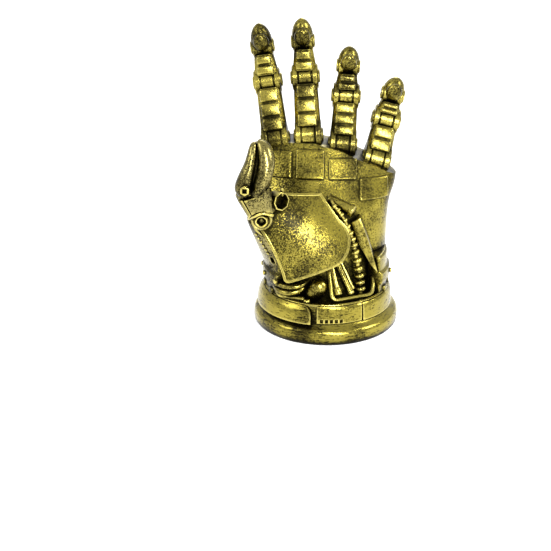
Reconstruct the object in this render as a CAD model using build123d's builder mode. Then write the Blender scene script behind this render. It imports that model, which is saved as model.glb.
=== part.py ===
"""Stand for a game controller: one casting, a mechanical left hand rising from a round plinth.

Millimetres. The origin is the centre of the plinth's underside, +Z is up and the palm faces -Y.
The controller lies between the thumb in front and the palm and fingers behind.
"""
from build123d import *
from math import cos, radians, sin
import os

os.makedirs("parts", exist_ok=True)

# Plinth
disc_height = 8.0
disc_belly = 1.0  # how far the disc's side bulges past its top and bottom edges
ledge_width = 3.8  # from the cuff out to the disc's edge
ledge_rise = 2.8
cuff_height = 8.7
cuff_wall = 3.0
cuff_hollow = 6.5  # depth of the well inside the cuff
panel_thickness = 1.2
panel_seat = 0.6  # how far a panel reaches into the cuff behind it
panel_drop = 0.6  # from the cuff's rim down to the panels' top edge
left_panel_flare = 2.2
front_panel_flare = 0.2
right_panel_flare = 0.6
panel_swell = 0.72  # share of the flare that is left halfway up a panel
tooth_count = 6
tooth_width = 1.6
tooth_height = 1.3
tooth_depth = 1.0

# Angles round the plinth, from the side that faces the viewer, positive to the viewer's right
left_panel_start, left_panel_end = -185.0, -12.0
front_panel_start, front_panel_end = -7.5, 33.4
right_panel_start, right_panel_end = 34.6, 168.0
teeth_start, teeth_end = -4.0, 19.0

# Wrist, a thick sleeve that is open in front
wrist_radius = 29.5
cuff_overlap = 1.2  # how far the wrist sits into the cuff's wall
wrist_height = 25.0
wrist_core_width = 54.0
wrist_core_depth = 36.0
window_left, window_right = -50.0, 60.0
wrist_rib_count = 11
wrist_rib_width = 4.0
wrist_rib_height = 6.6
wrist_rib_rise = 8.7  # of a rib's middle
wrist_rib_thickness = 0.9
wrist_rib_margin = 12.0  # degrees from the window's edges to the outer ribs

# Palm, as oval sections: rise above the well's floor, centre, half width and half depth
palm_foot_rise = 14.0
palm_waist_rise = 32.0
palm_seat_rise = 47.0
palm_neck_rise = 58.0
palm_top_rise = 75.0
palm_foot_reach = 0.6  # how far the palm's foot stays inside the wrist
palm_foot_depth = 45.0
palm_waist_width = 63.0
palm_waist_depth = 41.0
palm_seat_width = 65.0
palm_seat_depth = 37.0
palm_neck_width = 66.0
palm_neck_depth = 29.0
palm_top_width = 67.0
palm_top_depth = 17.0
palm_foot_setback = 6.0
palm_neck_setback = 9.0
palm_top_setback = 13.5
palm_waist_shift = -2.5  # towards the thumb

# Top edge of the palm under the knuckles, as x and rise, falling towards the little finger
palm_crown = [(-40.0, 70.5), (-22.0, 75.0), (-6.0, 75.0), (7.2, 71.5), (23.5, 64.5), (40.0, 56.5)]

# Raised pads on the palm, one under each finger
palm_pad_x = [-23.6, -8.2, 7.4, 22.0]
palm_pad_foot = [60.0, 60.0, 60.0, 51.0]
palm_pad_top = [71.5, 72.5, 69.0, 60.5]
palm_pad_width = 13.4
palm_pad_thickness = 1.2
palm_pad_reach = 25.0  # how far forward the pads' outlines are drawn before the palm trims them

# Thumb mound: a barrel-shaped swelling under a smooth cover plate
mound_centre_x = -9.0
mound_centre_rise = 19.0
mound_setback = 18.0
mound_radius = 50.0
mound_end_radius = 34.0
mound_half_length = 48.0
mound_fall = 34.0  # degrees that the barrel's axis falls to the right
mound_yaw = 14.0  # degrees that its left end is turned towards the viewer
cover_thickness = 2.4
cover_overlap = 0.6
mound_inset = 2.2
mound_front = 45.0  # how far forward the outlines are drawn before the barrel trims them

# Cover plate's outline, as x and rise above the well's floor
cover_heel = (-19.0, 18.0)
cover_hem = (4.7, 26.0)
cover_bulge = (10.9, 35.7)
cover_shoulder = (5.8, 45.8)
cover_crown_right = (-3.2, 57.2)
cover_crown_left = (-22.5, 58.5)
cover_pivot = (-31.5, 51.0)
cover_pivot_foot = (-31.6, 43.9)
cover_side = (-24.0, 31.9)

# Thumb root, from the side of the palm up to the thumb's first joint
root_foot = (-16.5, -4.0, 22.0)
root_top = (-30.6, -21.5, 50.0)
root_foot_radius = 14.0
root_top_radius = 8.0

# Thumb
thumb_pivot = (-30.2, -24.0, 50.0)
thumb_pivot_radius = 5.0
thumb_pivot_reach = 8.6
thumb_ring_radius = 3.3
thumb_pivot_front = 10.5
thumb_pivot_bore = 1.9
thumb_bore_depth = 2.2
thumb_base = (-30.2, -29.5, 52.6)
thumb_hinge = (-34.6, -31.5, 64.8)
thumb_base_share = 0.82  # size of the first segment's foot, as a share of its head
thumb_facets = [
    (-8.6, 2.5), (-7.2, -4.2), (-3.6, -7.0), (4.2, -7.0), (8.4, -3.0), (8.6, 4.0), (5.0, 7.0), (-5.5, 7.0),
]
thumb_arch_radius = 5.8  # of the cut that clears the pivot
thumb_arch_depth = 14.0
thumb_hinge_radius = 5.6
thumb_hinge_width = 14.0
thumb_hub = (-24.5, -29.5, 59.0)
thumb_hub_radius = 4.0
thumb_hub_length = 5.0
thumb_groove = [(-34.8, -40.3, 69.0), (-33.0, -39.9, 74.0), (-31.7, -37.6, 79.5), (-32.2, -34.4, 85.5)]
thumb_groove_radius = 1.2
thumb_groove_bend = 8.0
thumb_bolt = (-37.2, -38.0, 67.9)
thumb_bolt_radius = 2.4
thumb_bolt_reach = 2.2
thumb_bolt_recess = 0.9

# Thumb's last segment, as oval sections: x, y, rise above the hinge, half width, half depth
thumb_leaf = [
    (-36.8, -33.2, -0.8, 5.6, 6.2),
    (-35.3, -33.2, 3.6, 7.5, 7.0),
    (-33.9, -32.6, 7.6, 7.7, 7.0),
    (-31.9, -31.2, 12.9, 6.8, 6.2),
    (-30.7, -30.0, 17.6, 5.4, 5.2),
    (-31.3, -28.8, 20.6, 3.6, 3.6),
]
thumb_tip_radius = 3.55

# Fingers, from the first finger to the little finger
knuckle_x = [-25.0, -9.2, 7.2, 23.5]
knuckle_rise = [74.5, 76.6, 72.5, 65.0]
finger_fan = [9.0, 4.2, -3.6, -14.0]  # degrees, positive towards the thumb
first_lengths = [28.0, 28.0, 23.0, 19.5]
second_lengths = [17.0, 17.2, 14.5, 12.5]
last_lengths = [12.4, 12.3, 10.5, 9.5]
finger_width = 12.6
finger_depth = 12.0
second_width = 11.6
second_depth = 11.0
tip_width = 9.8
finger_corner = 3.0
knuckle_radius = 7.6
second_hinge_radius = 6.2
last_hinge_radius = 5.6
hinge_shoulder = 3.6  # from a hinge's centre to where the next segment starts
pivot_cap_radius = 3.2
pivot_cap_height = 0.8
knuckle_setback = 13.5
first_lean, second_lean, last_lean = 20.0, 9.5, -12.0  # degrees towards the back
hinge_step = 0.9  # from the hinges' ears down to their narrower middle
hinge_ear_width = 2.7
slat_counts = (3, 2)  # raised slats on the palm side of a finger's first and second segment
slat_height = 1.5
slat_margin = 1.4
slat_gap = 0.9

# Ribbed hose in the gap at the right of the cover plate
hose_top = (3.2, -14.5, 55.5)
hose_middle = (12.6, -14.8, 37.4)
hose_bottom = (16.8, -15.0, 8.0)
hose_radius = 1.3
rib_count = 13
rib_radius_top = 1.7
rib_radius_bottom = 2.5
rib_height = 3.0
rib_sink = 0.4  # how far the ribs' thin ends reach into the hose

# Bars, rods and cables in the wrist's opening
loop_bar_radius = 1.3
loop_corner_radius = 2.5
loop_path = [
    (0.6, -13.0, 26.0), (2.6, -25.0, 6.6), (19.2, -17.6, 7.2), (22.6, -11.0, 18.5), (21.0, -6.0, 22.0),
]
rod_radius = 1.2
rod_ends = [
    ((0.5, -12.0, 28.0), (6.4, -23.5, 7.0)),
    ((3.0, -12.0, 30.0), (12.3, -20.5, 6.0)),
    ((6.0, -12.0, 29.0), (13.6, -17.0, 9.0)),
]
rod_collar_radius = 1.7
rod_collar_length = 3.0
cable_radius = 1.6
cable_bend = 3.5
cable_path = [
    (-20.0, -6.0, 14.0), (-23.0, -14.5, 6.5), (-16.5, -20.0, 6.0), (-10.0, -20.5, 11.0), (-6.0, -12.0, 14.0),
]
short_bar_ends = ((-20.0, -15.0, 1.8), (-7.5, -21.5, 4.0))
short_bar_radius = 1.1
pod_centre = (-4.9, -20.0, 9.2)
pod_half_length = 6.4
pod_half_width = 4.4
pod_depth = 4.0  # how far the pod reaches back into the wrist
pod_dome = 2.6
pod_turn = 35.0

# Saddle that the controller's underside rests in, a round trough along X
saddle_setback = -6.0
saddle_rise = 54.0
saddle_radius = 15.0
saddle_left, saddle_right = -25.0, 24.0

# Blade and barrel beside the hose
blade_outline = [(10.8, 42.0), (15.4, 44.8), (20.4, 33.5), (25.4, 13.5), (20.4, 20.5), (14.4, 31.5)]
blade_front = 15.5
blade_reach = 13.0
barrel_start = (5.0, -7.0, 49.0)
barrel_end = (14.6, -13.5, 46.5)
barrel_radius = 3.1

# Plates on the back of the hand
back_strip_width = 11.0
back_strip_thickness = 2.2
back_strip_foot = 26.0  # rise of the strips' lower ends
back_strip_spread = 25.0  # degrees round the wrist from one strip to the next
back_strip_inset = 1.4  # how far a strip's middle lies inside the wrist's surface
back_slot_width = 4.2
back_slot_depth = 0.9
back_slot_share = 0.5  # length of a strip's slot, as a share of the strip
back_rod_radius = 1.1
back_rod_lift = 0.5  # how far the rod in a slot stands out of the strip
cuff_band_height = 5.0
cuff_band_thickness = 1.4
cuff_band_rise = 14.0

# Levels and radii that follow from the sizes above
cuff_bore = wrist_radius - cuff_overlap
cuff_radius = cuff_bore + cuff_wall
ring_radius = cuff_radius - panel_thickness
disc_radius = cuff_radius + ledge_width
ledge_top = disc_height + ledge_rise
rim = ledge_top + cuff_height
floor = rim - cuff_hollow
rim_round = cuff_wall / 2 - panel_thickness / 2


def spot(point):
    """A point given by its rise above the well's floor."""
    x, y, rise = point
    return Vector(x, y, floor + rise)


def turned_plane(angle):
    """Upright plane through the plinth's axis, its x pointing out at an angle from the viewer's side."""
    turn = radians(angle - 90)
    return Plane(origin=(0, 0, 0), x_dir=(cos(turn), sin(turn), 0), z_dir=(sin(turn), -cos(turn), 0))


def round_bar(start, end, radius):
    """A straight round bar between two points."""
    run = end - start
    with BuildPart() as bar:
        with BuildSketch(Plane(origin=start, z_dir=run)):
            Circle(radius)
        extrude(amount=run.length)
    return bar.part


def bent_bar(points, radius, bend):
    """A round bar along straight runs that are joined by arcs."""
    with BuildPart() as bar:
        with BuildLine() as route:
            FilletPolyline(*points, radius=bend)
        with BuildSketch(Plane(origin=route.line @ 0, z_dir=route.line % 0)):
            Circle(radius)
        sweep()
    return bar.part


with BuildPart() as plinth:
    with BuildSketch(Plane.XZ):
        with BuildLine():
            Polyline((0, floor), (0, 0), (disc_radius - disc_belly, 0))
            ThreePointArc(
                (disc_radius - disc_belly, 0),
                (disc_radius, disc_height / 2),
                (disc_radius - disc_belly, disc_height),
            )
            Polyline(
                (disc_radius - disc_belly, disc_height),
                (ring_radius, ledge_top),
                (ring_radius, rim - rim_round),
            )
            ThreePointArc(
                (ring_radius, rim - rim_round),
                ((ring_radius + cuff_bore) / 2, rim),
                (cuff_bore, rim - rim_round),
            )
            Polyline((cuff_bore, rim - rim_round), (cuff_bore, floor), (0, floor))
        make_face()
    revolve(axis=Axis.Z)


def cuff_panel(start, end, flare):
    """One plate round the cuff, its foot standing out by the flare."""
    with BuildPart() as panel:
        with BuildSketch(turned_plane(start)):
            with BuildLine():
                Polyline(
                    (cuff_radius, rim - panel_drop),
                    (ring_radius - panel_seat, rim - panel_drop),
                    (ring_radius - panel_seat, ledge_top - panel_seat),
                    (cuff_radius + flare, ledge_top - panel_seat),
                )
                ThreePointArc(
                    (cuff_radius + flare, ledge_top - panel_seat),
                    (cuff_radius + flare * panel_swell, (ledge_top + rim) / 2),
                    (cuff_radius, rim - panel_drop),
                )
            make_face()
        revolve(axis=Axis.Z, revolution_arc=end - start)
    return panel.part


with BuildPart() as cuff_panels:
    add(cuff_panel(left_panel_start, left_panel_end, left_panel_flare))
    add(cuff_panel(front_panel_start, front_panel_end, front_panel_flare))
    add(cuff_panel(right_panel_start, right_panel_end, right_panel_flare))
    for index in range(tooth_count):
        angle = teeth_start + (teeth_end - teeth_start) * index / (tooth_count - 1)
        tooth_start = turned_plane(angle).offset(-tooth_width / 2)
        with BuildSketch(tooth_start):
            with Locations((cuff_radius, ledge_top)):
                Rectangle(2 * tooth_depth, tooth_height)
        extrude(amount=tooth_width)

with BuildPart() as wrist:
    with BuildSketch(Plane.XY.offset(floor - cuff_overlap)):
        Circle(wrist_radius)
        with BuildLine():
            left_edge = turned_plane(window_left).x_dir * (2 * wrist_radius)
            right_edge = turned_plane(window_right).x_dir * (2 * wrist_radius)
            Polyline(
                (0, 0),
                (left_edge.X, left_edge.Y),
                (0, -3 * wrist_radius),
                (right_edge.X, right_edge.Y),
                close=True,
            )
        make_face(mode=Mode.SUBTRACT)
        Ellipse(wrist_core_width / 2, wrist_core_depth / 2)
    extrude(amount=wrist_height + cuff_overlap)
    with BuildSketch(turned_plane(window_right)):
        with Locations((wrist_radius, floor + cuff_band_rise)):
            Rectangle(2 * cuff_band_thickness, cuff_band_height)
    revolve(axis=Axis.Z, revolution_arc=360 - (window_right - window_left))
    rib_run = 360 - (window_right - window_left) - 2 * wrist_rib_margin
    for index in range(wrist_rib_count):
        rib_angle = window_right + wrist_rib_margin + rib_run * index / (wrist_rib_count - 1)
        with BuildSketch(turned_plane(rib_angle).offset(-wrist_rib_width / 2)):
            with Locations((wrist_radius, floor + wrist_rib_rise)):
                Rectangle(2 * wrist_rib_thickness, wrist_rib_height)
        extrude(amount=wrist_rib_width)


def palm_block(growth):
    """The palm as a run of ovals, larger all round by the growth."""
    sections = [
        (palm_foot_rise, 0, palm_foot_setback, 2 * (wrist_radius - palm_foot_reach), palm_foot_depth),
        (palm_waist_rise, palm_waist_shift, palm_foot_setback, palm_waist_width, palm_waist_depth),
        (palm_seat_rise, palm_waist_shift, palm_foot_setback, palm_seat_width, palm_seat_depth),
        (palm_neck_rise, 0, palm_neck_setback, palm_neck_width, palm_neck_depth),
        (palm_top_rise, 0, palm_top_setback, palm_top_width, palm_top_depth),
    ]
    with BuildPart() as block:
        for rise, centre_x, centre_y, width, depth in sections:
            with BuildSketch(Plane.XY.offset(floor + rise)):
                with Locations((centre_x, centre_y)):
                    Ellipse(width / 2 + growth, depth / 2 + growth)
        loft(ruled=True)
    return block.part


with BuildPart() as palm:
    add(palm_block(0))
    with BuildSketch(Plane.XZ.offset(palm_pad_reach)):
        crown = [(x, floor + rise) for x, rise in palm_crown]
        above = [(crown[-1][0], floor + 2 * palm_top_rise), (crown[0][0], floor + 2 * palm_top_rise)]
        Polygon(*crown, *above, align=None)
    extrude(amount=-3 * palm_pad_reach, mode=Mode.SUBTRACT)

with BuildPart() as palm_pads:
    for x, foot, top in zip(palm_pad_x, palm_pad_foot, palm_pad_top):
        with BuildSketch(Plane.XZ):
            with Locations((x, floor + (foot + top) / 2)):
                Rectangle(palm_pad_width, top - foot)
        extrude(amount=palm_pad_reach)
    add(palm_block(palm_pad_thickness), mode=Mode.INTERSECT)


def mound_barrel(shrink):
    """The barrel that shapes the thumb mound, smaller all round by the shrink."""
    fall, yaw = radians(mound_fall), radians(mound_yaw)
    along = Vector(cos(fall) * cos(yaw), cos(fall) * sin(yaw), -sin(fall))
    across = Vector(sin(fall) * cos(yaw), sin(fall) * sin(yaw), cos(fall))
    centre = spot((mound_centre_x, mound_setback, mound_centre_rise))
    with BuildPart() as barrel:
        with BuildSketch(Plane(origin=centre, x_dir=along, z_dir=across)):
            with BuildLine():
                ThreePointArc(
                    (-mound_half_length, mound_end_radius - shrink),
                    (0, mound_radius - shrink),
                    (mound_half_length, mound_end_radius - shrink),
                )
                Polyline(
                    (mound_half_length, mound_end_radius - shrink),
                    (mound_half_length, 0),
                    (-mound_half_length, 0),
                    (-mound_half_length, mound_end_radius - shrink),
                )
            make_face()
        revolve(axis=Axis(centre, along))
    return barrel.part


def cover_sketch(inset):
    """Outline of the thumb mound's cover plate in the XZ plane, drawn smaller by the inset."""
    with BuildSketch(Plane.XZ) as outline:
        with BuildLine():
            heel, hem, bulge, shoulder, crown_right, crown_left, pivot, pivot_foot, side = [
                (x, floor + rise)
                for x, rise in [
                    cover_heel, cover_hem, cover_bulge, cover_shoulder, cover_crown_right,
                    cover_crown_left, cover_pivot, cover_pivot_foot, cover_side,
                ]
            ]
            Line(heel, hem)
            ThreePointArc(hem, bulge, shoulder)
            Polyline(shoulder, crown_right, crown_left, pivot, pivot_foot)
            ThreePointArc(pivot_foot, side, heel)
        make_face()
        if inset > 0:
            offset(amount=-inset, mode=Mode.REPLACE)
    return outline.sketch


with BuildPart() as cover_plate:
    add(cover_sketch(0))
    extrude(amount=mound_front, dir=(0, -1, 0))
    add(mound_barrel(0), mode=Mode.INTERSECT)
    add(mound_barrel(cover_thickness), mode=Mode.SUBTRACT)

with BuildPart() as thumb_mound:
    add(cover_sketch(mound_inset))
    extrude(amount=mound_front, dir=(0, -1, 0))
    add(mound_barrel(cover_thickness - cover_overlap), mode=Mode.INTERSECT)

    saddle_end = spot((saddle_left, saddle_setback, saddle_rise + saddle_radius))
    with BuildSketch(Plane(origin=saddle_end, z_dir=(1, 0, 0))):
        Circle(saddle_radius)
    extrude(amount=saddle_right - saddle_left, mode=Mode.SUBTRACT)

with BuildPart() as thumb_root:
    root_run = spot(root_top) - spot(root_foot)
    with BuildSketch(Plane(origin=spot(root_foot), z_dir=root_run)):
        Circle(root_foot_radius)
    with BuildSketch(Plane(origin=spot(root_top), z_dir=root_run)):
        Circle(root_top_radius)
    loft()

with BuildPart() as thumb_joint:
    pivot_back = Plane(origin=spot(thumb_pivot), x_dir=(1, 0, 0), z_dir=(0, -1, 0))
    with BuildSketch(pivot_back):
        Circle(thumb_pivot_radius)
    extrude(amount=thumb_pivot_reach)
    with BuildSketch(pivot_back):
        Circle(thumb_ring_radius)
    extrude(amount=thumb_pivot_front)

with BuildPart() as thumb_segment:
    thumb_run = spot(thumb_hinge) - spot(thumb_base)
    thumb_foot = Plane(origin=spot(thumb_base), x_dir=(1, 0, 0), z_dir=thumb_run)
    for share, plane in ((thumb_base_share, thumb_foot), (1, thumb_foot.offset(thumb_run.length))):
        with BuildSketch(plane):
            Polygon(*[(x * share, y * share) for x, y in thumb_facets], align=None)
    loft()
    with BuildSketch(pivot_back):
        Circle(thumb_arch_radius)
    extrude(amount=thumb_arch_depth, mode=Mode.SUBTRACT)
    hinge_end = Plane(origin=spot(thumb_hinge), z_dir=(1, 0, 0)).offset(-thumb_hinge_width / 2)
    with BuildSketch(hinge_end):
        Circle(thumb_hinge_radius)
    extrude(amount=thumb_hinge_width)
    with BuildSketch(Plane(origin=spot(thumb_hub), z_dir=(0.8, -0.5, 0.1))):
        RegularPolygon(thumb_hub_radius, 8)
    extrude(amount=thumb_hub_length)

with BuildPart() as thumb_leaf_body:
    for x, y, rise, half_width, half_depth in thumb_leaf:
        with BuildSketch(Plane.XY.offset(floor + thumb_hinge[2] + rise)):
            with Locations((x, y)):
                Ellipse(half_width, half_depth)
    loft()
    leaf_x, leaf_y, leaf_rise = thumb_leaf[-1][:3]
    with Locations(spot((leaf_x, leaf_y, thumb_hinge[2] + leaf_rise))):
        Sphere(thumb_tip_radius)
    bolt_face = Plane(origin=spot(thumb_bolt), x_dir=(1, 0, 0), z_dir=(0, -1, 0)).offset(thumb_bolt_reach)
    with BuildSketch(bolt_face):
        RegularPolygon(thumb_bolt_radius, 6)
    extrude(amount=-2 * thumb_bolt_reach)
    with BuildSketch(bolt_face):
        Rectangle(thumb_bolt_radius, thumb_bolt_radius)
    extrude(amount=-thumb_bolt_recess, mode=Mode.SUBTRACT)
    groove_points = [spot(point) for point in thumb_groove]
    add(bent_bar(groove_points, thumb_groove_radius, thumb_groove_bend), mode=Mode.SUBTRACT)


def finger(index):
    """One finger: hinge barrels, two segments with slats on their palm side, and a domed tip."""
    fan = radians(finger_fan[index])
    hinge_axis = Vector(cos(fan), 0, sin(fan))
    leans = [radians(lean) for lean in (first_lean, second_lean, last_lean)]
    runs = [Vector(-sin(fan) * cos(lean), sin(lean), cos(fan) * cos(lean)) for lean in leans]
    knuckle = spot((knuckle_x[index], knuckle_setback, knuckle_rise[index]))
    second_hinge = knuckle + runs[0] * first_lengths[index]
    last_hinge = second_hinge + runs[1] * second_lengths[index]
    tip = last_hinge + runs[2] * (last_lengths[index] - tip_width / 2)
    with BuildPart() as digit:
        barrels = [
            (knuckle, knuckle_radius, finger_width),
            (second_hinge, second_hinge_radius, finger_width),
            (last_hinge, last_hinge_radius, second_width),
        ]
        for centre, radius, width in barrels:
            drums = [
                (0, radius, hinge_ear_width),
                (width - hinge_ear_width, radius, hinge_ear_width),
                (0, radius - hinge_step, width),
            ]
            for start, reach, length in drums:
                with BuildSketch(Plane(origin=centre, z_dir=hinge_axis).offset(start - width / 2)):
                    Circle(reach)
                extrude(amount=length)
            with BuildSketch(Plane(origin=centre, z_dir=hinge_axis).offset(-width / 2 - pivot_cap_height)):
                Circle(pivot_cap_radius)
            extrude(amount=width + 2 * pivot_cap_height)
        segments = [
            (knuckle, runs[0], first_lengths[index], finger_width, finger_depth, second_width, second_depth),
            (second_hinge, runs[1], second_lengths[index], second_width, second_depth, tip_width, tip_width),
        ]
        for slat_count, segment in zip(slat_counts, segments):
            start, run, length, width, depth, end_width, end_depth = segment
            foot = Plane(origin=start, x_dir=hinge_axis, z_dir=run).offset(hinge_shoulder)
            with BuildSketch(foot):
                RectangleRounded(width, depth, finger_corner)
            with BuildSketch(foot.offset(length - 2 * hinge_shoulder)):
                RectangleRounded(end_width, end_depth, finger_corner)
            loft()
            pitch = (length - 2 * hinge_shoulder) / slat_count
            for place in range(slat_count):
                share = (place + 0.5) / slat_count
                slat_width = width + (end_width - width) * share - 2 * slat_margin
                surface = (depth + (end_depth - depth) * share) / 2
                with BuildSketch(foot.offset(place * pitch + slat_gap / 2)):
                    with Locations((0, -surface)):
                        Rectangle(slat_width, 2 * slat_height)
                extrude(amount=pitch - slat_gap)
        with BuildSketch(Plane(origin=last_hinge, z_dir=runs[2])):
            Circle(tip_width / 2)
        extrude(amount=last_lengths[index] - tip_width / 2)
        with Locations(tip):
            Sphere(tip_width / 2)
    return digit.part


with BuildPart() as fingers:
    for index in range(len(knuckle_x)):
        add(finger(index))

with BuildPart() as hose:
    with BuildLine() as hose_line:
        ThreePointArc(spot(hose_top), spot(hose_middle), spot(hose_bottom))
    with BuildSketch(Plane(origin=hose_line.line @ 0, z_dir=hose_line.line % 0)):
        Circle(hose_radius)
    sweep()
    rib_foot = hose_radius - rib_sink
    for index in range(rib_count):
        share = (index + 0.5) / rib_count
        radius = rib_radius_top + (rib_radius_bottom - rib_radius_top) * share
        rib_middle = Plane(origin=hose_line.line @ share, z_dir=hose_line.line % share)
        with Locations(rib_middle):
            Cone(radius, rib_foot, rib_height / 2, align=(Align.CENTER, Align.CENTER, Align.MIN))
            Cone(rib_foot, radius, rib_height / 2, align=(Align.CENTER, Align.CENTER, Align.MAX))

with BuildPart() as wrist_works:
    add(bent_bar([spot(point) for point in loop_path], loop_bar_radius, loop_corner_radius))
    for start, end in rod_ends:
        add(round_bar(spot(start), spot(end), rod_radius))
    collar_end = spot(rod_ends[0][1])
    collar_run = (collar_end - spot(rod_ends[0][0])).normalized()
    add(round_bar(collar_end - collar_run * rod_collar_length, collar_end, rod_collar_radius))
    add(bent_bar([spot(point) for point in cable_path], cable_radius, cable_bend))
    add(round_bar(spot(short_bar_ends[0]), spot(short_bar_ends[1]), short_bar_radius))
    lean = radians(pod_turn)
    pod_axis = Vector(sin(lean), 0, cos(lean))
    pod_back = Plane(origin=spot(pod_centre), x_dir=pod_axis, z_dir=(0, -1, 0))
    for level, inset in ((-pod_depth, 0), (0, 0), (pod_dome / 2, pod_dome / 3), (pod_dome, pod_dome)):
        with BuildSketch(pod_back.offset(level)):
            Ellipse(pod_half_length - inset, pod_half_width - inset)
    loft(ruled=True)

with BuildPart() as right_blade:
    with BuildSketch(Plane.XZ.offset(blade_front - blade_reach)):
        Polygon(*[(x, floor + rise) for x, rise in blade_outline], align=None)
    extrude(amount=blade_reach)
    add(round_bar(spot(barrel_start), spot(barrel_end), barrel_radius))

with BuildPart() as back_strips:
    for index in range(len(knuckle_x)):
        turn = radians((index - (len(knuckle_x) - 1) / 2) * back_strip_spread)
        reach = wrist_radius - back_strip_inset
        foot = spot((reach * sin(turn), reach * cos(turn), back_strip_foot))
        head_setback = knuckle_setback + knuckle_radius - back_strip_thickness
        head = spot((knuckle_x[index], head_setback, knuckle_rise[index]))
        run = head - foot
        strip_foot = Plane(origin=foot, x_dir=(cos(turn / 2), -sin(turn / 2), 0), z_dir=run)
        strip_top = 1.5 * back_strip_thickness
        slot_foot = strip_foot.offset(run.length * (1 - back_slot_share) / 2)
        with BuildSketch(strip_foot):
            RectangleRounded(back_strip_width, 2 * strip_top, back_strip_thickness)
        extrude(amount=run.length)
        with BuildSketch(slot_foot):
            with Locations((0, strip_top)):
                Rectangle(back_slot_width, 2 * back_slot_depth)
        extrude(amount=run.length * back_slot_share, mode=Mode.SUBTRACT)
        with BuildSketch(slot_foot):
            with Locations((0, strip_top + back_rod_lift - back_rod_radius)):
                Circle(back_rod_radius)
        extrude(amount=run.length * back_slot_share)

with BuildPart() as stand:
    for body in (
        plinth, cuff_panels, wrist, palm, palm_pads, thumb_mound, cover_plate, thumb_root, thumb_segment,
        thumb_joint, thumb_leaf_body, fingers, hose, wrist_works, right_blade, back_strips,
    ):
        add(body.part)
    bore_front = Plane(origin=spot(thumb_pivot), x_dir=(1, 0, 0), z_dir=(0, -1, 0)).offset(thumb_pivot_front)
    with BuildSketch(bore_front):
        Circle(thumb_pivot_bore)
    extrude(amount=-thumb_bore_depth, mode=Mode.SUBTRACT)

stand.part.label = "hand_stand"
export_step(stand.part, "parts/hand_stand.step")
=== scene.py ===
"""Looks of the mechanical hand stand: one casting in antique gold paint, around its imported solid.

Pieces are modelled in millimetres, with the origin at the centre of the plinth's underside, and
are brought to metres when they are finished. Rises are measured from the floor of the plinth's well.
"""

from math import atan2, cos, pi, radians, sin, sqrt

import bmesh
import bpy
from mathutils import Matrix, Vector


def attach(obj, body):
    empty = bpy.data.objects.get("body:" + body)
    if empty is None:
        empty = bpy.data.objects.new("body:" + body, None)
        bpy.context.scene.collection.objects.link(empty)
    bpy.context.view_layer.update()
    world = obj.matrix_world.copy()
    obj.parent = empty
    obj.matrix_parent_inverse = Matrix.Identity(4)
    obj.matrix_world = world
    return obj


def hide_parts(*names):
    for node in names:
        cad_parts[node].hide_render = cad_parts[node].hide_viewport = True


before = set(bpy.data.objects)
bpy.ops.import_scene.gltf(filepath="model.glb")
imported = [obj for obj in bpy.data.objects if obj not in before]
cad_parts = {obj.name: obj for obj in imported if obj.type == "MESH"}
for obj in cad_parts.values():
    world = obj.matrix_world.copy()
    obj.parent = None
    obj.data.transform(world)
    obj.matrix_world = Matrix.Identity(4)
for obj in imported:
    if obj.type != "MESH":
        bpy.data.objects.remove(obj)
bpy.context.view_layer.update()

NODE = "hand_stand"
METRE = 0.001  # one millimetre in metres
WELL = 13.0  # height of the well's floor
ROUND_SIDES = 32


# Work with pieces

def deselect():
    """Object mode, with nothing selected."""
    if bpy.context.object and bpy.context.object.mode != "OBJECT":
        bpy.ops.object.mode_set(mode="OBJECT")
    bpy.ops.object.select_all(action="DESELECT")


def pick(*pieces):
    """Selects the pieces, the first of them active."""
    deselect()
    for piece in pieces:
        piece.select_set(True)
    bpy.context.view_layer.objects.active = pieces[0]


def edit(piece):
    """Edit mode, with every vertex selected."""
    pick(piece)
    bpy.ops.object.mode_set(mode="EDIT")
    bpy.ops.mesh.select_mode(type="VERT")
    bpy.ops.mesh.select_all(action="SELECT")


def done():
    """Leaves edit mode and gives back the piece that was edited."""
    bpy.ops.object.mode_set(mode="OBJECT")
    return bpy.context.object


def named(name):
    """Bakes the new primitive's place into its mesh and names it."""
    piece = bpy.context.object
    piece.name = piece.data.name = name
    bpy.ops.object.transform_apply(location=True, rotation=True, scale=True)
    return piece


def choose(piece, test, kind="FACE"):
    """In edit mode, selects the faces, edges or vertices whose middle and normal pass the test."""
    bpy.ops.mesh.select_mode(type=kind)
    bpy.ops.mesh.select_all(action="DESELECT")
    mesh = bmesh.from_edit_mesh(piece.data)
    mesh.normal_update()
    if kind == "FACE":
        for face in mesh.faces:
            face.select_set(bool(test(face.calc_center_median(), face.normal)))
    elif kind == "EDGE":
        for edge in mesh.edges:
            ends = [vertex.co for vertex in edge.verts]
            edge.select_set(bool(test((ends[0] + ends[1]) / 2, (ends[1] - ends[0]).normalized())))
    else:
        for vertex in mesh.verts:
            vertex.select_set(bool(test(vertex.co, vertex.normal)))
    mesh.select_flush_mode()
    bmesh.update_edit_mesh(piece.data)


def modify(piece, kind, **settings):
    """Adds a modifier and applies it."""
    pick(piece)
    modifier = piece.modifiers.new(kind.lower(), kind)
    for name, value in settings.items():
        setattr(modifier, name, value)
    bpy.ops.object.modifier_apply(modifier=modifier.name)
    return piece


def soften(piece, width, segments=2, angle=35):
    """Rounds the piece's sharp edges."""
    return modify(
        piece, "BEVEL", width=width, segments=segments, limit_method="ANGLE",
        angle_limit=radians(angle), harden_normals=False, use_clamp_overlap=True,
    )


def move(piece, matrix):
    """Moves a piece, in its mesh."""
    pick(piece)
    piece.matrix_world = matrix
    bpy.ops.object.transform_apply(location=True, rotation=True, scale=True)
    return piece


def clean(piece):
    """Merges doubles and turns the faces outwards."""
    edit(piece)
    bpy.ops.mesh.remove_doubles(threshold=0.0005)
    bpy.ops.mesh.select_all(action="SELECT")
    bpy.ops.mesh.normals_make_consistent(inside=False)
    return done()


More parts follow.
